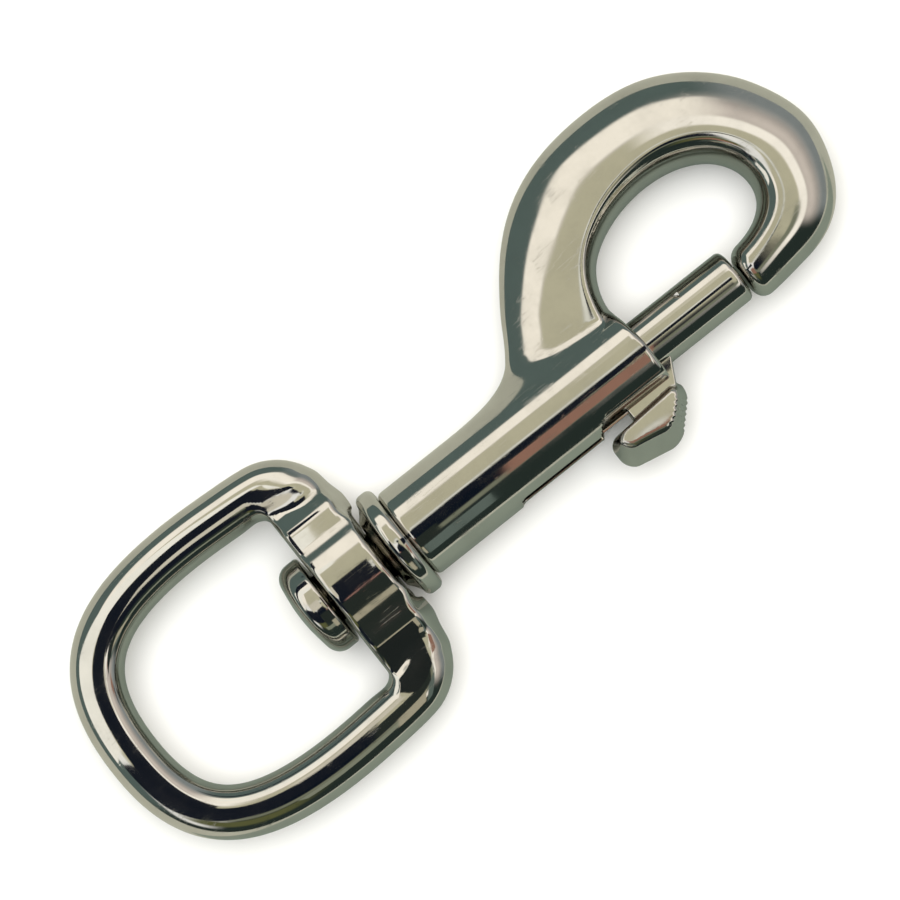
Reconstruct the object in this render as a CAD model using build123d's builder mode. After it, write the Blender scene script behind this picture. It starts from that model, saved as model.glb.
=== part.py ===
"""Swivel-eye bolt snap: a hook cast with its barrel, a sprung bolt with a thumb lever, and a swivel eye."""

from build123d import *
import math
import os

os.makedirs("parts", exist_ok=True)

# Driving dimensions, mm. Places along the barrel are counted from the middle of the swivel flange, along +X
# towards the hook. Across it, +Y is the side of the hook's back and +Z is up, both from the barrel's axis.

# How far a cut reaches past the surface it opens
overrun = 1.0

# Barrel
barrel_radius = 5.4
barrel_rear = 1.1
barrel_mouth = 33.7
mouth_rounding = 0.7
bore_radius = 3.2
slot_rear = 13.0
slot_width = 4.0
relief_rear = 24.3
relief_width = 8.0
relief_floor_radius = 4.9
relief_corner = 2.0

# Hook: stations from the barrel to the tip, each a point of its back and the facing point of its inner side
hook_stations = [
    ((17.0, 4.6), (33.5, 2.6)),
    ((20.2, 7.6), (33.2, 4.9)),
    ((22.6, 11.0), (33.45, 7.2)),
    ((25.5, 14.9), (34.4, 9.3)),
    ((29.0, 18.8), (36.2, 11.2)),
    ((35.0, 22.5), (39.6, 12.8)),
    ((44.2, 23.95), (44.6, 13.5)),
    ((52.2, 22.6), (48.8, 12.8)),
    ((58.4, 18.0), (52.0, 10.8)),
    ((62.0, 12.4), (53.35, 8.6)),
    ((62.55, 5.4), (53.2, 5.7)),
    ((60.0, 0.2), (52.2, 4.1)),
    ((55.6, -2.7), (50.8, 3.1)),
    ((51.0, -3.75), (49.0, 2.5)),
    ((46.5, -4.05), (46.5, 2.3)),
]
leg_half_height = 3.2
crown_half_height = 4.9
tip_half_height = 3.2
leg_crest = 0.12
crown_crest = 0.26
tip_crest = 0.5
crown_station = 6
tip_rounding = 1.2

# Bolt and its spring spigot
bolt_radius = 3.15
bolt_rear = 24.5
bolt_tip = 46.2
bolt_rounding = 0.5
spigot_radius = 1.9
spigot_rear = 19.0
spigot_chamfer = 0.4

# Thumb lever
neck_width = 3.8
neck_rear = 27.8
neck_front_top = 35.3
neck_front_bottom = 33.3
neck_top = -2.5
neck_bottom = -6.2
pad_half_width = 3.2
stem_radius = 1.3
stem_head_radius = 1.9
stem_place = 31.0

# Corners of the thumb pad, seen from above
pad_corners = [(24.0, -5.85), (34.2, -5.25), (34.2, -7.0), (30.2, -10.65), (24.0, -9.3)]
pad_corner_rounding = 1.1
pad_edge_rounding = 1.0

# Swivel stud
flange_radius = 6.55
flange_rounding = 0.8
collar_radius = 4.2
collar_rear = -2.1
shank_radius = 2.9
head_radius = 5.6
head_front = -9.7
head_rear = -13.3
head_rounding = 1.8
head_crown = 0.4
head_dome_share = 0.25
plug_front = 4.5
seat_front = 5.7

# Swivel eye: a round bar whose middle line leaves the crossbar, turns a corner and follows the bow
eye_bar_radius = 2.95
eye_half_width = 17.45
eye_rear = -39.4
eye_side = -4.95
eye_corner_radius = 4.5
eye_corner_start = 9.4
eye_corner_turn = 84.0
bow_side_reach = 20.0
bow_rear_reach = 12.8

# Crossbar of the eye: the height of its flanks, from the hub out to the bar, each (across, up)
hub_rear = -9.5
hub_front = -2.4
crossbar_front = -1.6
hub_crest = 6.1
hub_shoulder = (4.3, 4.85)
flank = [(4.6, 4.4), (4.9, 4.4), (7.6, 3.95), (8.3, 3.55), (9.5, 2.6), (11.2, 2.0), (12.6, 1.6)]
crossbar_corner = 5.0
dish_radius = 6.75
swivel_clearance = 0.08

# Spring
spring_wire_radius = 0.3
spring_coil_radius = 2.55
spring_turns = 11
end_gap = 0.02

# How far the middle of a quarter circle lies from its two sides, as a share of its radius
corner_share = 1 - math.sqrt(0.5)

# The part lies flat, with its origin under the middle of its length and width.
hook_front = 62.8
hook_back = 23.95
snap = Plane(
    origin=(-(eye_rear + hook_front) / 2, -(hook_back - eye_half_width) / 2, flange_radius)
)


def place(along, across=0.0, up=0.0):
    """A point counted from the barrel's axis at the flange."""
    return snap.from_local_coords((along, across, up))


def cross_plane(along):
    """The plane square to the barrel there: sketch X is +Y, sketch Y is +Z."""
    return Plane(origin=place(along), x_dir=(0, 1, 0), z_dir=(1, 0, 0))


barrel_axis = Axis(place(0), (1, 0, 0))


def below_plane(depth):
    """The plane square to -Y at that depth below the axis: sketch X is along the barrel, sketch Y is +Z."""
    return Plane(origin=place(0, -depth), x_dir=(1, 0, 0), z_dir=(0, -1, 0))


def blend(start, end, share):
    return start + (end - start) * share


# Relief in the barrel, as deep as its floor's radius leaves
with BuildPart() as relief:
    with BuildSketch(below_plane(0)) as relief_outline:
        with Locations(((relief_rear + barrel_mouth + overrun) / 2, 0)):
            Rectangle(barrel_mouth + overrun - relief_rear, relief_width)
        fillet(relief_outline.vertices().group_by(Axis.X)[0], relief_corner)
    extrude(amount=barrel_radius + overrun)
    with BuildSketch(cross_plane(barrel_rear)):
        Circle(relief_floor_radius)
    extrude(amount=barrel_mouth, mode=Mode.SUBTRACT)

# Hook and barrel, one casting
with BuildPart() as hook_body:
    with BuildSketch(cross_plane(barrel_rear)):
        Circle(barrel_radius)
    extrude(amount=barrel_mouth - barrel_rear)
    fillet(hook_body.edges().group_by(Axis.X)[-1], mouth_rounding)

    for station, (back, inside) in enumerate(hook_stations):
        if station <= crown_station:
            share = station / crown_station
            half_height = blend(leg_half_height, crown_half_height, share)
            crest = blend(leg_crest, crown_crest, share)
        else:
            share = (station - crown_station) / (len(hook_stations) - 1 - crown_station)
            half_height = blend(crown_half_height, tip_half_height, share**2)
            crest = blend(crown_crest, tip_crest, share**2)
        outward = place(*back) - place(*inside)
        middle = (place(*back) + place(*inside)) / 2
        inner_reach = outward.length * crest
        outer_reach = outward.length * (1 - crest)
        crest_place = (inner_reach - outer_reach) / 2
        with BuildSketch(Plane(origin=middle, x_dir=outward, z_dir=outward.rotate(Axis.Z, -90))):
            with BuildLine():
                for reach, start in ((outer_reach, -90), (inner_reach, 90)):
                    EllipticalCenterArc((crest_place, 0), reach, half_height, start_angle=start, arc_size=180)
            make_face()
    loft()

    fillet(hook_body.faces().filter_by(Axis.X).sort_by(Axis.X)[-1].edges(), tip_rounding)

    # Bore right through, slot open at the mouth, and the shallow relief on both sides of the slot
    with BuildSketch(cross_plane(barrel_rear)):
        Circle(bore_radius)
    extrude(amount=barrel_mouth - barrel_rear + overrun, mode=Mode.SUBTRACT)
    with BuildSketch(below_plane(0)):
        with Locations(((slot_rear + barrel_mouth + overrun) / 2, 0)):
            Rectangle(barrel_mouth + overrun - slot_rear, slot_width)
    extrude(amount=barrel_radius + overrun, mode=Mode.SUBTRACT)
    add(relief.part, mode=Mode.SUBTRACT)
hook_body.part.label = "hook_body"
export_step(hook_body.part, "parts/hook_body.step")

# Stem of the thumb lever: it runs through the bolt, and its end is peened into a countersink
with BuildPart() as stem:
    with BuildSketch(below_plane(-bolt_radius)):
        with Locations((stem_place, 0)):
            Circle(stem_radius)
    extrude(amount=2 * bolt_radius)
    with BuildSketch(below_plane(-bolt_radius)):
        with Locations((stem_place, 0)):
            Circle(stem_head_radius)
    extrude(amount=stem_head_radius - stem_radius, taper=45)
    with BuildSketch(cross_plane(bolt_rear)):
        Circle(bolt_radius)
    extrude(amount=bolt_tip - bolt_rear, mode=Mode.INTERSECT)

# Bolt: the sliding gate, with a spigot behind it that centres the spring and a cross hole for the lever's stem
with BuildPart() as bolt:
    with BuildSketch(cross_plane(bolt_rear)):
        Circle(bolt_radius)
    extrude(amount=bolt_tip - bolt_rear)
    fillet(bolt.edges().group_by(Axis.X)[-1], bolt_rounding)
    with BuildSketch(cross_plane(spigot_rear)):
        Circle(spigot_radius)
    extrude(amount=bolt_rear - spigot_rear)
    chamfer(bolt.edges().group_by(Axis.X)[0], spigot_chamfer)
    add(stem.part, mode=Mode.SUBTRACT)
bolt.part.label = "bolt"
export_step(bolt.part, "parts/bolt.step")

# Thumb lever: a rounded pad, a neck that runs in the slot and sits on the bolt, and the stem
with BuildPart() as thumb_lever:
    with BuildSketch(snap) as pad_outline:
        with BuildLine():
            Polyline(*pad_corners, close=True)
        make_face()
        fillet(pad_outline.vertices(), pad_corner_rounding)
    extrude(amount=pad_half_width, both=True)
    fillet(thumb_lever.faces().filter_by(Axis.Z).edges(), pad_edge_rounding)
    with BuildSketch(snap):
        with BuildLine():
            Polyline(
                (neck_rear, neck_bottom),
                (neck_rear, -bolt_radius / 2),
                (neck_front_top, -bolt_radius / 2),
                (neck_front_top, neck_top),
                (neck_front_bottom, neck_bottom),
                close=True,
            )
        make_face()
    extrude(amount=neck_width / 2, both=True)
    with BuildSketch(cross_plane(bolt_rear)):
        Circle(bolt_radius)
    extrude(amount=bolt_tip - bolt_rear, mode=Mode.SUBTRACT)
    add(stem.part)
thumb_lever.part.label = "thumb_lever"
export_step(thumb_lever.part, "parts/thumb_lever.step")

# Swivel stud: button head, shank, conical collar, flange, plug and the spring's seat, turned in one piece
with BuildPart() as swivel_stud:
    with BuildSketch(snap):
        with BuildLine():
            crown = ThreePointArc(
                (head_rear, 0),
                (head_rear + head_crown * head_dome_share, (head_radius - head_rounding) / 2),
                (head_rear + head_crown, head_radius - head_rounding),
            )
            rim = ThreePointArc(
                crown @ 1,
                (
                    head_rear + head_crown + head_rounding * corner_share,
                    head_radius - head_rounding * corner_share,
                ),
                (head_rear + head_crown + head_rounding, head_radius),
            )
            Polyline(
                rim @ 1,
                (head_front, head_radius),
                (head_front, shank_radius),
                (collar_rear, shank_radius),
                (collar_rear, collar_radius),
                (-barrel_rear, flange_radius - flange_rounding),
                (flange_rounding - barrel_rear, flange_radius),
                (barrel_rear - flange_rounding, flange_radius),
            )
            RadiusArc(
                (barrel_rear - flange_rounding, flange_radius),
                (barrel_rear, flange_radius - flange_rounding),
                flange_rounding,
            )
            Polyline(
                (barrel_rear, flange_radius - flange_rounding),
                (barrel_rear, bore_radius),
                (plug_front, bore_radius),
                (plug_front, spigot_radius),
                (seat_front, spigot_radius),
                (seat_front, 0),
                (head_rear, 0),
            )
        make_face()
    revolve(axis=barrel_axis)
swivel_stud.part.label = "swivel_stud"
export_step(swivel_stud.part, "parts/swivel_stud.step")

# Crossbar of the eye: a round hub with a flank on each side
with BuildPart() as crossbar:
    with BuildSketch(cross_plane(hub_rear)):
        with BuildLine():
            right_flank = [hub_shoulder] + flank
            lower_right = [(across, -up) for across, up in reversed(right_flank)]
            lower_left = [(-across, -up) for across, up in right_flank]
            upper_left = [(-across, up) for across, up in reversed(right_flank)]
            Polyline(*right_flank, *lower_right)
            ThreePointArc(lower_right[-1], (0, -hub_crest), lower_left[0])
            Polyline(*lower_left, *upper_left)
            ThreePointArc(upper_left[-1], (0, hub_crest), right_flank[0])
        make_face()
    extrude(amount=crossbar_front - hub_rear)
    front_corners = crossbar.edges().filter_by(Axis.Z).group_by(Axis.X)[-1]
    fillet(front_corners, crossbar_corner)

# Swivel eye: a round bar bent to a D, the crossbar, the hole for the stud's shank and the dish for its collar
with BuildPart() as swivel_eye:
    with BuildLine(snap) as middle_line:
        Line((eye_side, 0), (eye_side, eye_corner_start))
        CenterArc((eye_side - eye_corner_radius, eye_corner_start), eye_corner_radius, 0, eye_corner_turn)
        lean = math.radians(90 - eye_corner_turn)
        side_along = eye_side - eye_corner_radius * (1 - math.sin(lean))
        side_across = eye_corner_start + eye_corner_radius * math.cos(lean)
        bow_rear = eye_rear + eye_bar_radius
        Bezier(
            (side_along, side_across),
            (side_along - bow_side_reach * math.cos(lean), side_across + bow_side_reach * math.sin(lean)),
            (bow_rear, bow_rear_reach),
            (bow_rear, 0),
        )
        mirror(about=Plane(origin=place(0), z_dir=(0, 1, 0)))
    with BuildSketch(Plane(origin=place(eye_side), z_dir=(0, 1, 0))):
        Circle(eye_bar_radius)
    sweep(path=middle_line.wires()[0])
    add(crossbar.part)
    with BuildSketch(cross_plane(hub_rear - overrun)):
        Circle(shank_radius + swivel_clearance)
    extrude(amount=crossbar_front - hub_rear + 2 * overrun, mode=Mode.SUBTRACT)
    with BuildSketch(cross_plane(hub_front)):
        Circle(dish_radius)
    extrude(amount=crossbar_front - hub_front + overrun, mode=Mode.SUBTRACT)
swivel_eye.part.label = "swivel_eye"
export_step(swivel_eye.part, "parts/swivel_eye.step")

# Spring: it pushes the bolt's shoulder forwards from the stud's plug
with BuildPart() as spring:
    first_coil = plug_front + end_gap + spring_wire_radius
    last_coil = bolt_rear - end_gap - spring_wire_radius
    length = last_coil - first_coil
    with BuildLine():
        coil = Helix(
            length / spring_turns, length, spring_coil_radius, center=place(first_coil), direction=(1, 0, 0)
        )
    with BuildSketch(Plane(origin=coil @ 0, z_dir=coil % 0)):
        Circle(spring_wire_radius)
    sweep(path=coil, is_frenet=True)
spring.part.label = "spring"
export_step(spring.part, "parts/spring.step")
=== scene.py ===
import math

import bpy
import numpy as np
from mathutils import Matrix, Vector


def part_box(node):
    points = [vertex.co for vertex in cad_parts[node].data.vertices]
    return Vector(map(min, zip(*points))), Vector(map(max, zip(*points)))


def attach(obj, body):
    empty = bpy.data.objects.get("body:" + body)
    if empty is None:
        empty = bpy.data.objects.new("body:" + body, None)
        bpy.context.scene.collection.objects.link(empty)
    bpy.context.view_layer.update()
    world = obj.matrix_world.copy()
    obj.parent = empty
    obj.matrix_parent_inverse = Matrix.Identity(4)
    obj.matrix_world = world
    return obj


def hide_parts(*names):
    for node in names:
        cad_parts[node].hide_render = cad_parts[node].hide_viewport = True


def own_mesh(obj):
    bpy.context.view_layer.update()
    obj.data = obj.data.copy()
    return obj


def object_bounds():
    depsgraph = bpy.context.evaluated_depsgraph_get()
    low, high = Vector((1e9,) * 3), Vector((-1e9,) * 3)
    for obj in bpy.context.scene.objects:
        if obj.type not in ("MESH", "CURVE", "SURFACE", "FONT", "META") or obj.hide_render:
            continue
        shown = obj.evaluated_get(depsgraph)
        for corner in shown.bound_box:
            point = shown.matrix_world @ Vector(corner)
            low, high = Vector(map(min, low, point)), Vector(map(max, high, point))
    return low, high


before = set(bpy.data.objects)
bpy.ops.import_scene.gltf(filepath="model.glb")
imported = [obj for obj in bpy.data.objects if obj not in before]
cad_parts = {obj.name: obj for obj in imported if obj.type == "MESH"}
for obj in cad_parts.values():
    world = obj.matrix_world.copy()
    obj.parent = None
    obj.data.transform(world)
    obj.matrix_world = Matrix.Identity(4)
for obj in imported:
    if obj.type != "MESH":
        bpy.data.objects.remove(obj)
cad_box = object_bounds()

# Shapes are worked out in millimetres from the barrel's axis at the middle of the swivel flange:
# x along the barrel towards the hook, y towards the hook's back, z up.
MM = 0.001
HEAD_REAR = -13.3
stud_low, stud_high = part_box("swivel_stud")
ORIGIN = np.array([
    stud_low.x - HEAD_REAR * MM,
    (stud_low.y + stud_high.y) / 2,
    (stud_low.z + stud_high.z) / 2,
])
FLOOR = min(cad_box[0].z, 0.0)
GRID = 0.25
CAMERA_TILT = math.radians(7)


# ---------------------------------------------------------------------------------------------------------
# Rounded joins of two fields. A field is below 0 inside a shape and about a distance outside it.

def join(a, b, radius, lean=0.0):
    """Either shape, with a fillet where they meet. Lean is the cosine between their normals."""
    u, v = radius - a, radius - b
    far = np.sqrt(np.maximum(u**2 + v**2 - 2 * lean * u * v, 1e-12) / (1 - lean**2))
    between = (u > lean * v) & (v > lean * u)
    return np.where(between, radius - far, np.minimum(a, b))


def meet(a, b, radius):
    """Only where both shapes are, with the edge rounded to that radius."""
    corner = np.hypot(np.maximum(radius + a, 0), np.maximum(radius + b, 0))
    return np.minimum(-radius, np.maximum(a, b)) + corner


def cut(a, b, radius):
    """The first shape without the second, with the edge rounded to that radius."""
    return meet(a, -b, radius)


def ramp(value, start, end):
    """From 0 at start to 1 at end, smoothly."""
    share = np.clip((value - start) / (end - start), 0, 1)
    return share * share * (3 - 2 * share)


def slab(value, low, high):
    """Distance outside the layer from low to high."""
    return np.abs(value - (low + high) / 2) - (high - low) / 2


class Smooth:
    """A natural cubic spline through rows of values at rising places."""

    def __init__(self, places, values):
        self.places = np.array(places, float)
        self.values = np.array(values, float)
        self.runs = np.diff(self.places)
        slopes = np.diff(self.values, axis=0) / self.runs[:, None]
        count = len(self.places)
        system = np.eye(count)
        right = np.zeros_like(self.values)
        for i in range(1, count - 1):
            system[i, i - 1:i + 2] = self.runs[i - 1], 2 * (self.runs[i - 1] + self.runs[i]), self.runs[i]
            right[i] = 6 * (slopes[i] - slopes[i - 1])
        self.bends = np.linalg.solve(system, right)

    def __call__(self, place):
        """Values, and their first and second derivatives."""
        place = np.clip(place, self.places[0], self.places[-1])
        i = np.clip(np.searchsorted(self.places, place, side="right") - 1, 0, len(self.runs) - 1)
        run = self.runs[i][..., None]
        b = (place - self.places[i])[..., None] / run
        a = 1 - b
        p, q, m, n = self.values[i], self.values[i + 1], self.bends[i], self.bends[i + 1]
        value = a * p + b * q + ((a**3 - a) * m + (b**3 - b) * n) * run**2 / 6
        first = (q - p) / run + ((1 - 3 * a**2) * m + (3 * b**2 - 1) * n) * run / 6
        return value, first, a * m + b * n


class Outline:
    """A smooth plane curve through a few points, and the distance from it."""

    def __init__(self, points, samples=240):
        points = np.array(points, float)
        knots = np.concatenate([[0], np.cumsum(np.hypot(*np.diff(points, axis=0).T))])
        self.length = knots[-1]
        self.curve = Smooth(knots, points)
        self.places = np.linspace(0, self.length, samples)
        self.samples = self.curve(self.places)[0]

    def distance(self, x, y):
        """Signed distance, above 0 on the curve's right-hand side, and the share of the length."""
        x, y = np.broadcast_arrays(x, y)
        flat = np.stack([x.ravel(), y.ravel()], axis=-1)
        place = np.empty(len(flat))
        # The nearest sample, then four Newton steps along the curve
        batch = 20000
        for start in range(0, len(flat), batch):
            part = flat[start:start + batch]
            gaps = ((part[:, None, :] - self.samples[None]) ** 2).sum(-1)
            place[start:start + batch] = self.places[gaps.argmin(1)]
        for _ in range(4):
            point, first, second = self.curve(place)
            away = point - flat
            slope = (away * first).sum(-1)
            curve = (first * first).sum(-1) + (away * second).sum(-1)
            step = slope / np.where(np.abs(curve) > 0.2, curve, 1.0)
            place = np.clip(place - np.clip(step, -0.5, 0.5), 0, self.length)
        point, first, _ = self.curve(place)
        away = flat - point
        side = np.sign(first[:, 1] * away[:, 0] - first[:, 0] * away[:, 1])
        gap = np.hypot(*away.T) * np.where(side == 0, 1, side)
        return gap.reshape(x.shape), (place / self.length).reshape(x.shape)

    def widths(self, other, count, most):
        """How far the other outline is, square to this one on its left, at that many places."""
        places = np.linspace(0, self.length, count)
        point, first, _ = self.curve(places)
        normal = np.stack([-first[:, 1], first[:, 0]], axis=-1) / np.hypot(*first.T)[:, None]
        low, high = np.zeros(count), np.full(count, float(most))
        for _ in range(40):
            middle = (low + high) / 2
            within = other.distance(*(point + normal * middle[:, None]).T)[0] > 0
            low, high = np.where(within, middle, low), np.where(within, high, middle)
        return Smooth(places, low[:, None])


# ---------------------------------------------------------------------------------------------------------
# Meshes from fields

def slope_of(field, points, reach=0.01):
    """The field's slope along each axis at each point."""
    grads = []
    for axis in range(3):
        move = np.zeros(3)
        move[axis] = reach
        grads.append((field(*(points + move).T) - field(*(points - move).T)) / (2 * reach))
    return np.stack(grads, axis=-1)


def surface(field, low, high, step):
    """Quads on the field's zero surface: a corner in each grid cell it crosses, moved onto it."""
    axes = [np.arange(a - 2 * step, b + 3 * step, step) for a, b in zip(low, high)]
    shape = [len(a) for a in axes]
    values = np.broadcast_to(field(*np.meshgrid(*axes, indexing="ij", sparse=True)), shape)
    cells = [n - 1 for n in shape]
    total = np.zeros(cells + [3])
    count = np.zeros(cells)

    def corner(i, j, k):
        return values[i:i + cells[0], j:j + cells[1], k:k + cells[2]]

    for axis in range(3):
        for offset in np.ndindex(2, 2, 2):
            if offset[axis]:
                continue
            other = tuple(1 if a == axis else offset[a] for a in range(3))
            v0, v1 = corner(*offset), corner(*other)
            crosses = (v0 < 0) != (v1 < 0)
            share = np.where(crosses, v0 / np.where(crosses, v0 - v1, 1), 0)
            for a in range(3):
                total[..., a] += np.where(crosses, offset[a] + (share if a == axis else 0), 0)
            count += crosses
    active = count > 0
    index = np.full(cells, -1)
    index[active] = np.arange(active.sum())
    points = np.argwhere(active) + total[active] / count[active][:, None]
    points = points * step + np.array([a[0] for a in axes])
    faces = []
    for axis in range(3):
        u, v = (axis + 1) % 3, (axis + 2) % 3
        flips = (values < 0) != (np.roll(values, -1, axis=axis) < 0)
        inside = tuple([slice(1, -1)] * 3)
        mask = np.zeros_like(flips)
        mask[inside] = flips[inside]
        spots = np.argwhere(mask)
        quad = []
        for du, dv in ((1, 1), (0, 1), (0, 0), (1, 0)):
            cell = spots.copy()
            cell[:, u] -= du
            cell[:, v] -= dv
            quad.append(index[tuple(cell.T)])
        quad = np.stack(quad, axis=-1)
        outward = values[mask] < 0
        quad[~outward] = quad[~outward][:, ::-1]
        faces.append(quad)
    # Three steps onto the surface, each at most half a cell long
    for _ in range(3):
        value = field(*points.T)
        grad = slope_of(field, points)
        size = np.maximum((grad**2).sum(-1), 0.04)
        move = grad * (value / size)[:, None]
        far = np.linalg.norm(move, axis=-1)
        points = points - move * np.minimum(1, 0.5 * step / np.maximum(far, 1e-9))[:, None]
    grad = slope_of(field, points, 0.02)
    normals = grad / np.maximum(np.linalg.norm(grad, axis=-1, keepdims=True), 1e-9)
    return points, np.concatenate(faces), normals


# ---------------------------------------------------------------------------------------------------------
# Meshes turned about the barrel's axis, and round wire

def arc(centre, radius, start, end, count=8):
    """Points of an arc, with its angles in degrees."""
    angles = np.radians(np.linspace(start, end, count))
    return [(centre[0] + radius * math.cos(a), centre[1] + radius * math.sin(a)) for a in angles]


def turned(profile, around=144):
    """A closed mesh from (along, radius) points that start and end on the axis."""
    profile = np.array(profile, float)
    angles = np.linspace(0, 2 * math.pi, around, endpoint=False)
    points = [(profile[0, 0], 0, 0)]
    for along, radius in profile[1:-1]:
        points += [(along, radius * math.cos(a), radius * math.sin(a)) for a in angles]
    points.append((profile[-1, 0], 0, 0))
    faces = []
    rings = len(profile) - 2
    for k in range(around):
        after = (k + 1) % around
        faces.append((0, 1 + after, 1 + k))
        for ring in range(rings - 1):
            start = 1 + ring * around
            faces.append((start + k, start + after, start + around + after, start + around + k))
        start = 1 + (rings - 1) * around
        faces.append((start + k, start + after, len(points) - 1))
    return points, faces


def wire(line, radius, around=14):
    """A closed tube of that radius along a line of points."""
    line = np.array(line, float)
    along = np.gradient(line, axis=0)
    along /= np.linalg.norm(along, axis=1, keepdims=True)
    outward = np.stack([np.zeros(len(line)), line[:, 1], line[:, 2]], axis=-1)
    outward -= (outward * along).sum(1, keepdims=True) * along
    outward /= np.linalg.norm(outward, axis=1, keepdims=True)
    sideways = np.cross(along, outward)
    points, faces = [], []
    for place, u, v in zip(line, outward, sideways):
        for a in np.linspace(0, 2 * math.pi, around, endpoint=False):
            points.append(place + radius * (math.cos(a) * u + math.sin(a) * v))
    for ring in range(len(line) - 1):
        for k in range(around):
            after = (k + 1) % around
            start = ring * around
            faces.append((start + k, start + after, start + around + after, start + around + k))
    faces.append(tuple(reversed(range(around))))
    faces.append(tuple(range(len(points) - around, len(points))))
    return points, faces


def piece(name, points, faces, normals, body, node, material):
    """A mesh object from points in millimetres, which rides on its body and stands for its CAD node."""
    mesh = bpy.data.meshes.new(name)
    mesh.from_pydata((np.asarray(points) * MM + ORIGIN).tolist(), [], [tuple(map(int, f)) for f in faces])
    mesh.update()
    mesh.polygons.foreach_set("use_smooth", [True] * len(mesh.polygons))
    if normals is None:
        mesh.set_sharp_from_angle(angle=math.radians(35))
    else:
        mesh.normals_split_custom_set_from_vertices([tuple(n) for n in normals])
    made = bpy.data.objects.new(name, mesh)
    bpy.context.scene.collection.objects.link(made)
    mesh.materials.append(material)
    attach(made, body)
    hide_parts(node)
    return made


# ---------------------------------------------------------------------------------------------------------
# Hook and barrel

BARREL_RADIUS = 5.4
BARREL_REAR = 1.1
BARREL_MOUTH = 33.7
BORE_RADIUS = 3.2
SLOT_REAR = 13.0
SLOT_HALF_WIDTH = 2.0
RELIEF_REAR = 24.3
RELIEF_HALF_WIDTH = 4.0
RELIEF_CORNER = 2.0
RELIEF_FLOOR = 4.9
MOUTH_LEAN = 0.11
MOUTH_FILLET = 1.0
INNER_FILLET = 3.0
BACK_FILLET = 6.5
FILLET_LEAN = 0.6
# The hook's leg lies before this place along the barrel, and its tip past it
LEG_TO_TIP = 40
LEG_FOOT = 1.5
TIP_END = 46.5
TIP_TOP = 7.8
TIP_ROUND = 1.5
HOOK_END = 62.8
HOOK_TOP = 24
hook_back = Outline([
    (12.6, -4.8), (15.9, 0.3), (19.2, 5.4), (22, 9.7), (25, 14.2), (28, 17.8), (32, 21),
    (37, 23.1), (44, 23.95), (51, 23), (56, 20.3), (60, 16), (62.3, 11), (62.8, 7), (61.5, 2.8),
    (58, -1.8), (53, -3.4), (46.5, -4.05), (44, -4.1),
])
hook_inside = Outline([
    (33.7, 0), (33.45, 3), (33.15, 5), (33.5, 7.3), (35, 10), (38, 12.1), (44.5, 13.5), (49, 12.7),
    (52, 10.7), (53.4, 7.6), (52.8, 4.8), (50.5, 3), (47.5, 2.3), (44, 2.2),
])
hook_width = hook_inside.widths(hook_back, 30, 25)
# Share of the hook's length: share of its width from the inside to its crest, half its height, and the
# power of the oval on its outer side, where 2 is an ellipse and less is leaner
hook_section = Smooth(
    [0, 0.15, 0.3, 0.55, 0.8, 1],
    [
        (0.12, 2.75, 1.6), (0.15, 3.4, 1.55), (0.18, 4.3, 1.5),
        (0.26, 4.9, 1.5), (0.34, 4.2, 1.6), (0.5, 3.2, 2.0),
    ],
)


def hook_field(x, y, z):
    """A bar along the hook's inside outline: lean towards the outside, rounder towards the inside."""
    gap, share = hook_inside.distance(x, y)
    width, spread, _ = hook_width(share * hook_inside.length)
    crest, half_height, power = np.moveaxis(hook_section(share)[0], -1, 0)
    width, spread = width[..., 0], spread[..., 0]
    across = -gap - crest * width
    outer = ramp(across, -0.5 * crest * width, 0.5 * crest * width)
    reach = (crest + (1 - 2 * crest) * outer) * width
    power = 2 + (power - 2) * outer
    place = np.sqrt((across / reach)**2 + 0.0004)
    slope = np.hypot(1 / reach, place * spread / width)
    far = np.sqrt(place**power + (z / half_height)**2)
    grow = np.hypot(power / 2 * place**(power - 1) * slope, z / half_height**2) / np.maximum(far, 0.05)
    hook = (far - 1) / np.maximum(grow, 0.02)
    hook = np.where((y < TIP_TOP) & (x > LEG_TO_TIP), meet(hook, TIP_END - x, TIP_ROUND), hook)
    return np.where(x < LEG_TO_TIP, np.maximum(hook, LEG_FOOT - y), hook)


def hook_body_field(x, y, z):
    """The barrel and hook, with the bore, the lever's slot and the flat relief beside its mouth."""
    radius = np.hypot(y, z)
    mouth = BARREL_MOUTH - MOUTH_LEAN * np.clip(y, 0, 5)
    barrel = meet(radius - BARREL_RADIUS, slab(x, BARREL_REAR, mouth), 0.7)
    # The fillet is tight at the mouth and grows towards the back of the leg
    fillet = MOUTH_FILLET + (INNER_FILLET - MOUTH_FILLET) * ramp(x, BARREL_MOUTH - 0.2, 29)
    fillet = fillet + (BACK_FILLET - INNER_FILLET) * ramp(x, 27, 20)
    body = join(barrel, hook_field(x, y, z), fillet, FILLET_LEAN)
    past = x - LEG_TO_TIP
    bore = np.maximum(radius - BORE_RADIUS, past)
    slot = np.maximum(meet(np.abs(z) - SLOT_HALF_WIDTH, SLOT_REAR - x, 0.8), np.maximum(y + 1, past))
    relief = meet(np.abs(z) - RELIEF_HALF_WIDTH, RELIEF_REAR - x, RELIEF_CORNER)
    relief = np.maximum(meet(relief, RELIEF_FLOOR - radius, 0.2), np.maximum(y + 2, past))
    body = cut(body, relief, 0.15)
    return cut(cut(body, slot, 0.2), bore, 0.3)


def make_hook_body(material):
    """The fixed body: the hook and the barrel in one casting."""
    low = (BARREL_REAR, -BARREL_RADIUS, -BARREL_RADIUS)
    high = (HOOK_END, HOOK_TOP, BARREL_RADIUS)
    points, faces, normals = surface(hook_body_field, low, high, GRID)
    piece("hook_and_barrel", points, faces, normals, "barrel", "hook_body", material)


# ---------------------------------------------------------------------------------------------------------
# Swivel eye

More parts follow.
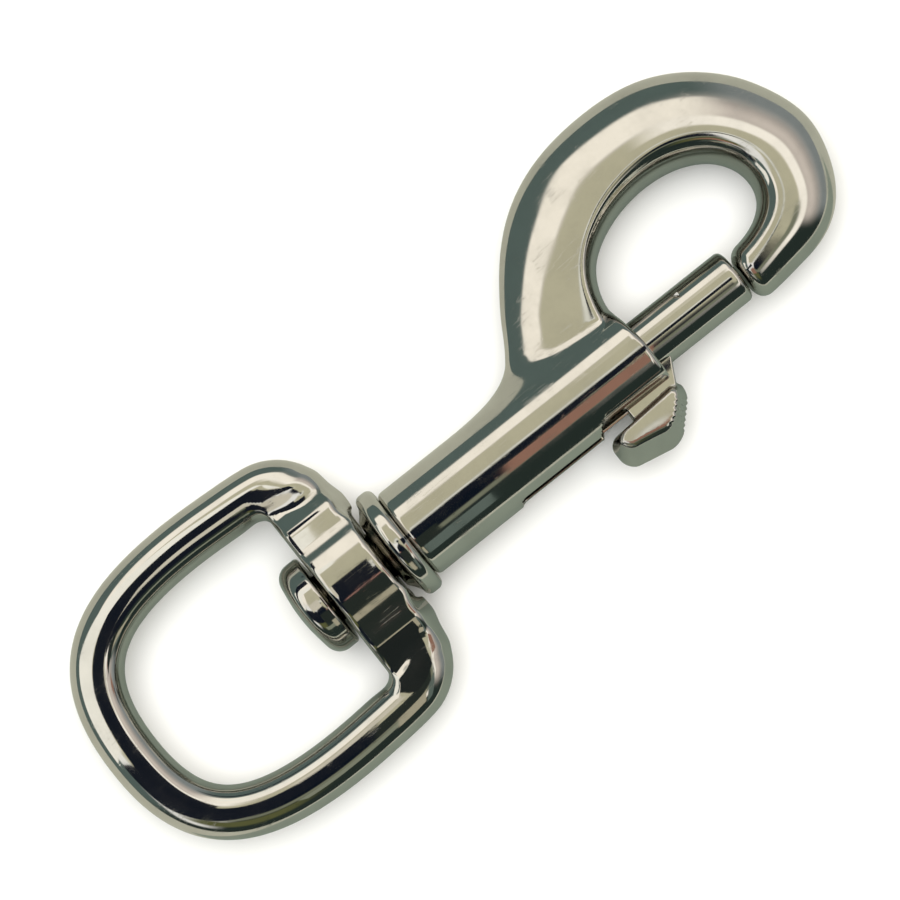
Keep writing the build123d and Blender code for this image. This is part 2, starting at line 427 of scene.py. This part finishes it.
EYE_BAR_RADIUS = 2.95
EYE_REAR = -39.4
EYE_FRONT = -1.4
EYE_HALF_WIDTH = 17.5
EYE_SIDE = -4.95
EYE_CORNER = 4.5
EYE_CORNER_START = 9.4
EYE_CORNER_TURN = 84
BOW_SIDE_REACH = 20
BOW_REAR_REACH = 12.8
HUB_REAR = -9.5
HUB_FRONT = -2.4
CROSSBAR_FRONT = -1.6
FRONT_DRAFT = 0.34
HUB_DRAFT = 0.16
REAR_DRAFT = 0.07
HUB_CREST = 6.1
HUB_CURVE = 8.0
HUB_HALF = 6.0
CROSSBAR_HALF = 12.6
DISH_RADIUS = 5.95
SHANK_HOLE = 2.98
BAR_SINK = 1.1
BUMP_HEIGHT = 0.12


def bow_line():
    """Half of the bar's middle line, from the crossbar to the bow's rear, and a little past both."""
    points = [(EYE_SIDE, across) for across in (-3, 0, 3, 6)]
    turn = arc((EYE_SIDE - EYE_CORNER, EYE_CORNER_START), EYE_CORNER, 0, EYE_CORNER_TURN, 9)
    lean = math.radians(90 - EYE_CORNER_TURN)
    start = np.array(turn[-1])
    rear = EYE_REAR + EYE_BAR_RADIUS
    handles = [
        start,
        start + BOW_SIDE_REACH * np.array([-math.cos(lean), math.sin(lean)]),
        np.array([rear, BOW_REAR_REACH]),
        np.array([rear, 0.0]),
    ]
    bow = []
    for share in np.linspace(0, 1, 15)[1:]:
        weights = ((1 - share)**3, 3 * share * (1 - share)**2, 3 * share**2 * (1 - share), share**3)
        bow.append(tuple(sum(w * h for w, h in zip(weights, handles))))
    past = [(x, -y) for x, y in bow[-2:-4:-1]]
    return Outline(points + turn + bow + past)


eye_line = bow_line()
# Height of the crossbar's top above the middle plane, at places across it
flank_height = Smooth(
    [0, 2.5, 4.7, 6.2, 7.4, 8.2, 9.5, 11.3, 13],
    [(5.55,), (5.06,), (4.60,), (4.28,), (4.02,), (3.64,), (2.77,), (2.3,), (2.2,)],
)


def eye_field(x, y, z):
    """A bow of round bar on a tall crossbar, with a hub, a dish and the stud's hole in its middle."""
    across, up = np.abs(y), np.abs(z)
    gap, _ = eye_line.distance(x, across)
    # The bar is sunk between the crossbar's flanks, and a small bump stands beside the hub on its front
    sunk = BAR_SINK * ramp(across, 12.0, 8.5) * ramp(x, -13.0, -10.5)
    bar = np.hypot(gap, z) - EYE_BAR_RADIUS + sunk
    height, slope, _ = flank_height(across)
    flank = (up - height[..., 0]) / np.hypot(1, slope[..., 0])
    hub = np.hypot(y, up - HUB_CREST + HUB_CURVE) - HUB_CURVE
    top = join(flank, np.maximum(hub, across - HUB_HALF), 0.25)
    bump = BUMP_HEIGHT * ramp(across, 5.5, 7.5) * ramp(across, 10, 7.5)
    draft = FRONT_DRAFT + (HUB_DRAFT - FRONT_DRAFT) * ramp(across, 7.0, 4.5)
    front = (x - CROSSBAR_FRONT - bump + draft * up) / np.hypot(1, draft)
    ends = meet(front, across - CROSSBAR_HALF, 5.0)
    sides = np.maximum(ends, (HUB_REAR - x + REAR_DRAFT * up) / math.hypot(1, REAR_DRAFT))
    crossbar = meet(top, sides, 0.6)
    eye = join(bar, crossbar, 1.5)
    dish = np.maximum(np.hypot(y, z) - DISH_RADIUS, HUB_FRONT - x)
    hole = np.maximum(np.hypot(y, z) - SHANK_HOLE, slab(x, -12, 2))
    return cut(cut(eye, dish, 0.35), hole, 0.4)


def make_eye(material):
    """The eye, which swivels about the stud."""
    low = (EYE_REAR, -EYE_HALF_WIDTH, -HUB_CREST)
    high = (EYE_FRONT, EYE_HALF_WIDTH, HUB_CREST)
    points, faces, normals = surface(eye_field, low, high, GRID)
    piece("eye_ring", points, faces, normals, "eye", "swivel_eye", material)


# ---------------------------------------------------------------------------------------------------------
# Thumb lever

PAD_HALF_WIDTH = 3.2
NECK_HALF_WIDTH = 1.9
NECK_REAR = 27.8
NECK_DRAFT = 0.12
RIDGE_PITCH = 0.6
RIDGE_DEPTH = 0.14
BOLT_RADIUS = 3.15
# The pad's corners in the middle plane, from the barrel's side round to its rear
PAD_REAR_INNER = (24.0, -5.75)
PAD_FRONT_INNER = (34.2, -5.15)
PAD_FRONT_OUTER = (34.1, -7.0)
PAD_TIP_FRONT = (30.7, -10.4)
PAD_TIP_REAR = (30.4, -10.75)
PAD_REAR_OUTER = (24.0, -9.45)


def draft_plane(x, y, up, start, end, draft):
    """Distance from a wall through two middle-plane points, above 0 on its left, leaning in by draft."""
    along = np.array(end, float) - np.array(start, float)
    along /= np.hypot(*along)
    return ((y - start[1]) * along[0] - (x - start[0]) * along[1] + draft * up) / math.hypot(1, draft)


def lever_field(x, y, z):
    """A drafted pad with ridges on its slanting front, and the flat neck that joins it to the bolt."""
    up = np.abs(z)
    inner = draft_plane(x, y, up, PAD_REAR_INNER, PAD_FRONT_INNER, 0.10)
    front = draft_plane(x, y, up, PAD_FRONT_INNER, PAD_FRONT_OUTER, 0.30)
    slant = draft_plane(x, y, up, PAD_FRONT_OUTER, PAD_TIP_FRONT, 0.30)
    down = (PAD_FRONT_OUTER[0] - x + PAD_FRONT_OUTER[1] - y) / math.sqrt(2)
    ridges = (1 + np.cos(2 * math.pi * down / RIDGE_PITCH)) / 2
    slant = slant + RIDGE_DEPTH * ridges * ramp(down, 0.2, 0.6) * ramp(down, 4.2, 3.8)
    outer = draft_plane(x, y, up, PAD_TIP_REAR, PAD_REAR_OUTER, 0.62)
    rear = draft_plane(x, y, up, PAD_REAR_OUTER, PAD_REAR_INNER, 0.34)
    outline = meet(meet(inner, front, 0.7), slant, 0.6)
    outline = meet(meet(outline, outer, 1.1), rear, 1.3)
    pad = meet(outline, up - PAD_HALF_WIDTH + 0.012 * ((x - 29)**2 + 3 * (y + 7)**2), 0.45)
    neck = np.maximum(draft_plane(x, y, up, (35.3, -2.5), (33.4, -6.0), 0.0), NECK_REAR - x)
    neck = np.maximum(np.maximum(neck, y + 1.5), -8.0 - y)
    sides = (up - NECK_HALF_WIDTH - NECK_DRAFT * (-4.2 - y)) / math.hypot(1, NECK_DRAFT)
    neck = meet(neck, sides, 0.25)
    neck = cut(neck, np.hypot(y, z) - BOLT_RADIUS + 0.05, 0.1)
    return join(pad, neck, 0.3)


def make_lever(material):
    """The thumb lever, on a finer grid for its ridges."""
    low = (24, -10.8, -PAD_HALF_WIDTH)
    high = (35.4, -1.5, PAD_HALF_WIDTH)
    points, faces, normals = surface(lever_field, low, high, GRID * 0.5)
    piece("thumb_pad", points, faces, normals, "gate", "thumb_lever", material)


# ---------------------------------------------------------------------------------------------------------
# Turned pieces and the spring

BOLT_REAR = 24.5
BOLT_TIP = 46.2
SPIGOT_RADIUS = 1.9
SPIGOT_REAR = 19.0
FLANGE_RADIUS = 6.55
FLANGE_ROUND = 0.8
FLANGE_HALF = 1.1
COLLAR_REAR = -2.1
COLLAR_RADIUS = 4.1
PLUG_END = 4.5
PLUG_SPIGOT_END = 5.7
HEAD_RADIUS = 5.6
HEAD_FRONT = -9.7
SHANK_RADIUS = 2.9
SPRING_FIRST = 4.8
SPRING_LAST = 24.2
SPRING_COIL = 2.55
SPRING_WIRE = 0.3
SPRING_TURNS = 11


def make_bolt(material):
    """The bolt, from its spring spigot at the rear to its rounded tip."""
    profile = [(SPIGOT_REAR, 0), (SPIGOT_REAR, 1.0), (SPIGOT_REAR, 1.45), (SPIGOT_REAR + 0.1, 1.6)]
    profile += [(SPIGOT_REAR + 0.4, 1.87), (SPIGOT_REAR + 0.5, SPIGOT_RADIUS)]
    profile += [(BOLT_REAR - 0.1, SPIGOT_RADIUS)]
    profile += [(BOLT_REAR, SPIGOT_RADIUS + 0.1), (BOLT_REAR, BOLT_RADIUS - 0.3)]
    profile += arc((BOLT_REAR + 0.2, BOLT_RADIUS - 0.2), 0.2, 180, 90, 5)
    profile += [(x, BOLT_RADIUS) for x in np.linspace(BOLT_REAR + 1, BOLT_TIP - 1.2, 12)]
    profile += arc((BOLT_TIP - 0.7, BOLT_RADIUS - 0.7), 0.7, 90, 0, 9)
    profile += [(BOLT_TIP, 1.6), (BOLT_TIP, 0.8), (BOLT_TIP, 0)]
    points, faces = turned(profile)
    piece("sliding_bolt", points, faces, None, "gate", "bolt", material)


def make_stud(material):
    """The stud, from its domed head through the eye to the flange and the plug in the barrel."""
    rim = 1.8
    rounding = FLANGE_HALF - FLANGE_ROUND
    profile = [(HEAD_REAR, 0), (HEAD_REAR + 0.03, 1.0), (HEAD_REAR + 0.11, 2.0), (HEAD_REAR + 0.25, 3.0)]
    profile += arc((HEAD_REAR + 0.4 + rim, HEAD_RADIUS - rim), rim, 175, 90, 12)
    profile += [(HEAD_FRONT - 0.9, HEAD_RADIUS)]
    profile += arc((HEAD_FRONT - 0.4, HEAD_RADIUS - 0.4), 0.4, 90, 0, 6)
    profile += [(HEAD_FRONT, SHANK_RADIUS + 0.5)]
    profile += [(HEAD_FRONT + 0.1, SHANK_RADIUS + 0.1), (HEAD_FRONT + 0.3, SHANK_RADIUS)]
    profile += [(COLLAR_REAR - 0.2, SHANK_RADIUS), (COLLAR_REAR - 0.02, SHANK_RADIUS + 0.1)]
    profile += [(COLLAR_REAR, COLLAR_RADIUS), (COLLAR_REAR + 0.1, COLLAR_RADIUS + 0.2)]
    profile += [(COLLAR_REAR + 0.48, COLLAR_RADIUS + 0.65), (-FLANGE_HALF - 0.05, COLLAR_RADIUS + 1.45)]
    profile += arc((-rounding, FLANGE_RADIUS - FLANGE_ROUND), FLANGE_ROUND, 180, 90, 10)
    profile += arc((rounding, FLANGE_RADIUS - FLANGE_ROUND), FLANGE_ROUND, 90, 0, 10)
    profile += [(FLANGE_HALF, BARREL_RADIUS), (FLANGE_HALF, BORE_RADIUS + 0.2)]
    profile += [(FLANGE_HALF, BORE_RADIUS), (PLUG_END, BORE_RADIUS), (PLUG_END, SPIGOT_RADIUS)]
    profile += [(PLUG_SPIGOT_END - 0.1, SPIGOT_RADIUS), (PLUG_SPIGOT_END, SPIGOT_RADIUS - 0.1)]
    profile += [(PLUG_SPIGOT_END, 0.9), (PLUG_SPIGOT_END, 0)]
    points, faces = turned(profile)
    piece("swivel_stud_turned", points, faces, None, "barrel", "swivel_stud", material)


def make_spring(material):
    """An open coil with a fixed rear end, built at one length; the real spring shortens towards that end as
    the bolt is drawn back.
    """
    line = []
    count = SPRING_TURNS * 28
    for i in range(count + 1):
        share = i / count
        angle = 2 * math.pi * SPRING_TURNS * share
        along = SPRING_FIRST + (SPRING_LAST - SPRING_FIRST) * share
        line.append((along, SPRING_COIL * math.cos(angle), SPRING_COIL * math.sin(angle)))
    points, faces = wire(line, SPRING_WIRE)
    made = piece("coil_spring", points, faces, None, "barrel", "spring", material)
    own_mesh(made)


# ---------------------------------------------------------------------------------------------------------
# Node trees

class Nodes:
    """Short ways to add and link nodes in one tree."""

    def __init__(self, tree):
        self.tree = tree
        self.tree.nodes.clear()

    def add(self, kind, inputs=(), **settings):
        """A new node with its inputs, by name or number, and its settings."""
        node = self.tree.nodes.new(kind)
        for key, value in settings.items():
            setattr(node, key, value)
        for key, value in dict(inputs).items():
            self.set(node, key, value)
        return node

    def set(self, node, key, value):
        """Fill one input with another node's output or with a plain value."""
        if isinstance(value, bpy.types.NodeSocket):
            self.tree.links.new(value, node.inputs[key])
        else:
            node.inputs[key].default_value = value

    def math(self, operation, *values):
        """The result of one sum."""
        node = self.add("ShaderNodeMath", operation=operation)
        for i, value in enumerate(values):
            self.set(node, i, value)
        return node.outputs[0]

    def ramp(self, value, start, end):
        """From 0 at start to 1 at end, smoothly."""
        node = self.add("ShaderNodeMapRange", interpolation_type="SMOOTHSTEP")
        for i, item in enumerate((value, start, end, 0.0, 1.0)):
            self.set(node, i, item)
        return node.outputs[0]

    def mix(self, share, first, second):
        """The first colour where share is 0, and the second where it is 1."""
        node = self.add("ShaderNodeMix", data_type="RGBA")
        for i, value in ((0, share), (6, first), (7, second)):
            self.set(node, i, value)
        return node.outputs[2]


def rgb(red, green, blue):
    """An opaque colour."""
    return (red, green, blue, 1.0)


# ---------------------------------------------------------------------------------------------------------
# Metals

def metal(name, colour, rough, rough_spread, wave, scratch, grain):
    """Polished plated metal: slow casting waves, fine scratches and pits, and smears in the gloss."""
    material = bpy.data.materials.new(name)
    material.use_nodes = True
    n = Nodes(material.node_tree)
    place = n.add("ShaderNodeTexCoord").outputs["Object"]
    smear = n.add("ShaderNodeTexNoise", {"Vector": place, "Scale": 260.0, "Detail": 4.0, "Roughness": 0.6})
    fine = n.add("ShaderNodeTexNoise", {"Vector": place, "Scale": 2600.0, "Detail": 2.0, "Roughness": 0.5})
    slow = n.add("ShaderNodeTexNoise", {"Vector": place, "Scale": 140.0, "Detail": 1.0, "Roughness": 0.4})
    pits = n.add("ShaderNodeTexVoronoi", {"Vector": place, "Scale": 900.0}, feature="F1")
    stretched = n.add("ShaderNodeMapping", {"Vector": place, "Scale": (90.0, 1500.0, 700.0)})
    n.set(stretched, "Rotation", (0.2, 0.3, 0.9))
    hair = n.add("ShaderNodeTexNoise", {"Vector": stretched.outputs[0], "Scale": 1.0, "Detail": 3.0})
    line = n.ramp(n.math("ABSOLUTE", n.math("SUBTRACT", hair.outputs[0], 0.5)), 0.012, 0.0)
    some = n.ramp(smear.outputs[0], 0.52, 0.62)
    line = n.math("MULTIPLY", line, some)
    pit = n.ramp(pits.outputs["Distance"], 0.12, 0.03)
    pit = n.math("MULTIPLY", pit, n.ramp(slow.outputs[0], 0.5, 0.62))
    height = n.math("MULTIPLY", slow.outputs[0], wave)
    height = n.math("SUBTRACT", height, n.math("MULTIPLY", line, scratch))
    height = n.math("SUBTRACT", height, n.math("MULTIPLY", pit, scratch * 1.5))
    height = n.math("ADD", height, n.math("MULTIPLY", fine.outputs[0], grain))
    bump = n.add("ShaderNodeBump", {"Height": height, "Distance": 0.001, "Strength": 1.0})
    gloss = n.math("MULTIPLY_ADD", n.ramp(smear.outputs[0], 0.35, 0.7), rough_spread, rough)
    gloss = n.math("ADD", gloss, n.math("MULTIPLY", line, 0.12))
    worn = rgb(*(c * 0.9 for c in colour))
    tint = n.mix(n.ramp(smear.outputs[0], 0.3, 0.75), rgb(*colour), worn)
    shader = n.add("ShaderNodeBsdfPrincipled", {"Metallic": 1.0})
    n.set(shader, "Base Color", tint)
    n.set(shader, "Roughness", gloss)
    n.set(shader, "Normal", bump.outputs[0])
    n.add("ShaderNodeOutputMaterial", {"Surface": shader.outputs[0]})
    return material


# ---------------------------------------------------------------------------------------------------------
# Stage: floor, light and camera

# The floor's and the lamp's sizes are in metres, and the rest in millimetres from the barrel's middle
FLOOR_HALF = 1.5
LAMP_POWER = 8.0
LAMP_SIZE = 0.9
LAMP_HEIGHT = 0.9
LEG_AZIMUTH = 148
LEG_LOWERING = 0.27
CARD_HEIGHT = 30
BOW_CARD_HEIGHT = 11
CORNER_CARD_HEIGHT = 6.2
CREST_CARD_HEIGHT = 8
VIEW_CENTRE = (10.45, 4.36, 0.0)
VIEW_WIDTH = 96.6
BARREL_TURN = math.radians(38.5)
DARK = (0.010, 0.014, 0.025)
OLIVE = (0.75, 0.72, 0.53)
PALE = (1.10, 1.10, 1.00)
GREY = (0.52, 0.53, 0.47)
SHADED_GREY = (0.28, 0.33, 0.29)
WIDE = [(x * FLOOR_HALF, y * FLOOR_HALF) for x, y in ((-1, -1), (1, -1), (1, 1), (-1, 1))]
# Patches of painted shade in darker grey on the reflected table: on the lever's side and inside the hook,
# and inside the eye
SHADES = [
    [
        (-45, -100), (120, -100), (120, -6), (56, -6), (56, 14), (33, 14), (33, -6),
        (-2, -6), (-2, -14), (-45, -14),
    ],
    [(-33, -8), (-28, -12), (-9.6, -12), (-9.6, 12), (-28, 12), (-33, 8)],
]
# Lowest and highest lean, azimuth, half spread, edge, colour. A later band covers an earlier one
BANDS = [
    (0.53, 1.50, 110, 85, 0.02, (0.14, 0.195, 0.185)),
    (0.30, 0.95, -90, 80, 0.05, (0.03, 0.045, 0.04)),
    (0.52, 0.95, 0, 45, 0.06, (0.34, 0.38, 0.39)),
    (0.33, 0.53, 5, 55, 0.10, (0.95, 0.86, 0.79)),
    (-0.1, 0.30, -10, 60, 0.012, OLIVE),
    (0.09, 0.37, 75, 120, 0.012, OLIVE),
    (0.37, 0.55, 112, 62, 0.015, (1.50, 1.42, 1.28)),
    (0.28, 0.38, 0, 78, 0.015, (1.55, 1.48, 1.36)),
    (0.05, 0.09, 90, 60, 0.012, PALE),
    (-0.1, 0.09, 150, 40, 0.012, PALE),
    (-0.1, 0.58, 185, 28, 0.03, (1.30, 1.30, 1.28)),
    (0.22, 0.30, -90, 60, 0.02, (0.28, 0.30, 0.22)),
    (0.32, 0.50, -135, 28, 0.04, (0.16, 0.17, 0.07)),
]


def make_plane(name, colour, height, corners):
    """A level sheet with those corners, in metres."""
    material = bpy.data.materials.new(name)
    material.use_nodes = True
    n = Nodes(material.node_tree)
    shader = n.add("ShaderNodeBsdfDiffuse", {"Color": rgb(*colour), "Roughness": 1.0})
    n.add("ShaderNodeOutputMaterial", {"Surface": shader.outputs[0]})
    mesh = bpy.data.meshes.new(name)
    mesh.from_pydata([(x, y, height) for x, y in corners], [], [tuple(range(len(corners)))])
    mesh.materials.append(material)
    plane = bpy.data.objects.new(name, mesh)
    bpy.context.scene.collection.objects.link(plane)
    return plane


def make_floor():
    """A wide pale floor, and grey ones just above it that only the metal's reflections show."""
    floor = make_plane("floor", (0.93, 0.93, 0.93), FLOOR, WIDE)
    floor.visible_glossy = False
    greys = [make_plane("grey_table", GREY, FLOOR + 0.02 * MM, WIDE)]
    for i, corners in enumerate(SHADES):
        places = [(x * MM + ORIGIN[0], y * MM + ORIGIN[1]) for x, y in corners]
        # The shaded patches are painted shade, which only the metal's reflections show
        greys.append(make_plane(f"shaded_table_{i}", SHADED_GREY, FLOOR + 0.04 * MM, places))
    for grey in greys:
        grey.visible_camera = False
        grey.visible_diffuse = False
        grey.visible_shadow = False


def make_light():
    """A dark tent with bands of light. A band's lean is the sine of the tilt of a mirror that shows it."""
    world = bpy.data.worlds.new("studio")
    world.use_nodes = True
    bpy.context.scene.world = world
    n = Nodes(world.node_tree)
    direction = n.add("ShaderNodeTexCoord").outputs["Generated"]
    level = n.add("ShaderNodeVectorRotate", {"Vector": direction}, rotation_type="X_AXIS")
    n.set(level, "Angle", -CAMERA_TILT)
    direction = level.outputs[0]
    up = n.add("ShaderNodeSeparateXYZ", {0: direction}).outputs["Z"]
    lean = n.math("SQRT", n.math("MULTIPLY_ADD", up, -0.5, 0.5))
    flat = n.math("SQRT", n.math("SUBTRACT", 1.0001, n.math("MULTIPLY", up, up)))

    def towards(azimuth, start, end):
        """From 0 to 1 as the direction's azimuth comes from start to end degrees beside that azimuth."""
        a = math.radians(azimuth)
        side = n.add("ShaderNodeVectorMath", {0: direction, 1: (math.cos(a), math.sin(a), 0.0)})
        side.operation = "DOT_PRODUCT"
        facing = n.math("DIVIDE", side.outputs["Value"], flat)
        return n.ramp(facing, math.cos(math.radians(start)), math.cos(math.radians(end)))

    # The bands lie lower on the side of the hook's leg
    lower = towards(LEG_AZIMUTH, 50, 12)
    lean = n.math("MULTIPLY", lean, n.math("MULTIPLY_ADD", lower, LEG_LOWERING, 1.0))
    colour = rgb(0.006, 0.011, 0.022)
    for low, high, azimuth, spread, edge, tint in BANDS:
        share = towards(azimuth, spread + 10, spread - 10)
        share = n.math("MULTIPLY", share, n.ramp(lean, low - edge, low + edge))
        share = n.math("MULTIPLY", share, n.ramp(lean, high + edge, high - edge))
        colour = n.mix(share, colour, rgb(*tint))
    background = n.add("ShaderNodeBackground", {"Color": colour, "Strength": 1.0})
    n.add("ShaderNodeOutputWorld", {"Surface": background.outputs[0]})


def make_card(name, colour, height, corners):
    """A card over the snap, square to the camera, that only the metal's reflections show."""
    material = bpy.data.materials.new(name)
    material.use_nodes = True
    n = Nodes(material.node_tree)
    glow = n.add("ShaderNodeEmission", {"Color": rgb(*colour), "Strength": 1.0})
    n.add("ShaderNodeOutputMaterial", {"Surface": glow.outputs[0]})
    leaning = np.array(Matrix.Rotation(CAMERA_TILT, 3, "X"))
    places = [tuple(leaning @ np.array([x, y, height]) * MM + ORIGIN) for x, y in corners]
    mesh = bpy.data.meshes.new(name)
    mesh.from_pydata(places, [], [tuple(range(len(places)))])
    mesh.materials.append(material)
    card = bpy.data.objects.new(name, mesh)
    card.visible_camera = False
    card.visible_diffuse = False
    card.visible_shadow = False
    bpy.context.scene.collection.objects.link(card)


def make_cards():
    """White past the bow, dark over it and over the barrel's crest, and tinted strips beside the barrel."""
    past_bow = [
        (-8, 24), (-20, 25), (-30, 23), (-39, 17.5), (-44, 11), (-47, 8), (-120, 12), (-120, 98),
        (-43, 52), (-20, 38), (-8, 29),
    ]
    over_bow = [
        (-9.3, 17.8), (-20, 18.2), (-30.2, 16.5), (-37.3, 10.3), (-40, 0), (-39.5, -6), (-36, -11),
        (-31, -6), (-29.4, 0), (-29, 4), (-25, 10.5), (-20, 12), (-9.3, 11.5),
    ]
    back_corner = [(-10, 11.6), (-10, 15.4), (-5, 13.6), (-4.6, 11.8)]
    lever_corner = [(-10.3, -8.5), (-4, -8.5), (-4, -13), (-8, -13.5), (-10.3, -11.5)]
    below_bow = [(-45, 5), (-80, 8), (-80, -12), (-50, -20), (-16, -20), (-16, -3), (-24, 0)]
    make_card("white_card", (1.42, 1.40, 1.30), CARD_HEIGHT, past_bow)
    make_card("over_bow_card", DARK, BOW_CARD_HEIGHT, over_bow)
    make_card("back_corner_card", DARK, CORNER_CARD_HEIGHT, back_corner)
    make_card("lever_corner_card", (0.020, 0.026, 0.026), CORNER_CARD_HEIGHT, lever_corner)
    make_card("below_bow_card", DARK, CARD_HEIGHT, below_bow)
    make_card("hub_card", DARK, BOW_CARD_HEIGHT, [(-8.6, 2.3), (-8.6, -2.1), (-3.8, -2.1), (-3.8, 2.3)])
    make_card("crest_card", DARK, CREST_CARD_HEIGHT, [(1, 0.4), (1, -0.7), (46, -0.7), (46, 0.4)])
    strips = [
        # name, from and to along the barrel, from and to across it, colour
        ("stripe_card", -26, -10, 7, -2, (0.95, 0.90, 0.76)),
        ("crossbar_card", -15.9, 4, -8.2, -25, (0.03, 0.04, 0.035)),
        ("below_bow_strip_card", -32, -12, -32, -44, (0.34, 0.37, 0.285)),
        ("red_strip_card", -9, -3, -7.0, -8.0, (0.55, 0.30, 0.25)),
        ("beige_card", -12, -1, -25, -50, (0.60, 0.56, 0.42)),
        ("copper_card", 14, 36, -5.5, -18, (0.44, 0.24, 0.18)),
        ("green_card", 1, 11, -24, -60, (0.17, 0.22, 0.20)),
    ]
    for name, start, end, near, far, colour in strips:
        make_card(name, colour, CARD_HEIGHT, [(start, near), (start, far), (end, far), (end, near)])


def make_lamp():
    """Soft light from above for the floor alone: the metal shows the tent instead."""
    lamp = bpy.data.lights.new("overhead", "AREA")
    lamp.shape = "DISK"
    lamp.size = LAMP_SIZE
    lamp.energy = LAMP_POWER
    overhead = bpy.data.objects.new("overhead", lamp)
    overhead.location = (0, 0, LAMP_HEIGHT)
    overhead.visible_glossy = False
    bpy.context.scene.collection.objects.link(overhead)


def make_camera():
    """Over the snap, tilted a little towards the lever's side, with the barrel rising to the right."""
    camera = bpy.data.cameras.new("camera")
    camera.lens = 140.0
    camera.sensor_width = 36.0
    camera.clip_start = 0.01
    camera.clip_end = 20.0
    made = bpy.data.objects.new("camera", camera)
    centre = Vector(np.array(VIEW_CENTRE) * MM + ORIGIN)
    turn = Matrix.Rotation(CAMERA_TILT, 4, "X") @ Matrix.Rotation(-BARREL_TURN, 4, "Z")
    back = turn @ Vector((0, 0, VIEW_WIDTH * MM * camera.lens / camera.sensor_width))
    made.matrix_world = Matrix.Translation(centre + back) @ turn
    bpy.context.scene.collection.objects.link(made)
    bpy.context.scene.camera = made


bpy.context.scene.view_settings.view_transform = "Standard"
NICKEL = (0.57, 0.555, 0.515)
make_hook_body(metal("cast_polish", NICKEL, 0.06, 0.06, 0.05, 0.002, 0.0006))
make_eye(metal("eye_polish", NICKEL, 0.06, 0.05, 0.05, 0.002, 0.0005))
make_lever(metal("lever_polish", NICKEL, 0.09, 0.06, 0.05, 0.002, 0.0008))
make_bolt(metal("bolt_bright", NICKEL, 0.06, 0.05, 0.015, 0.0015, 0.0005))
make_stud(metal("stud_bright", NICKEL, 0.06, 0.05, 0.015, 0.0015, 0.0005))
make_spring(metal("spring_steel", (0.42, 0.42, 0.43), 0.22, 0.1, 0.0, 0.001, 0.0008))
make_floor()
make_light()
make_cards()
make_lamp()
make_camera()
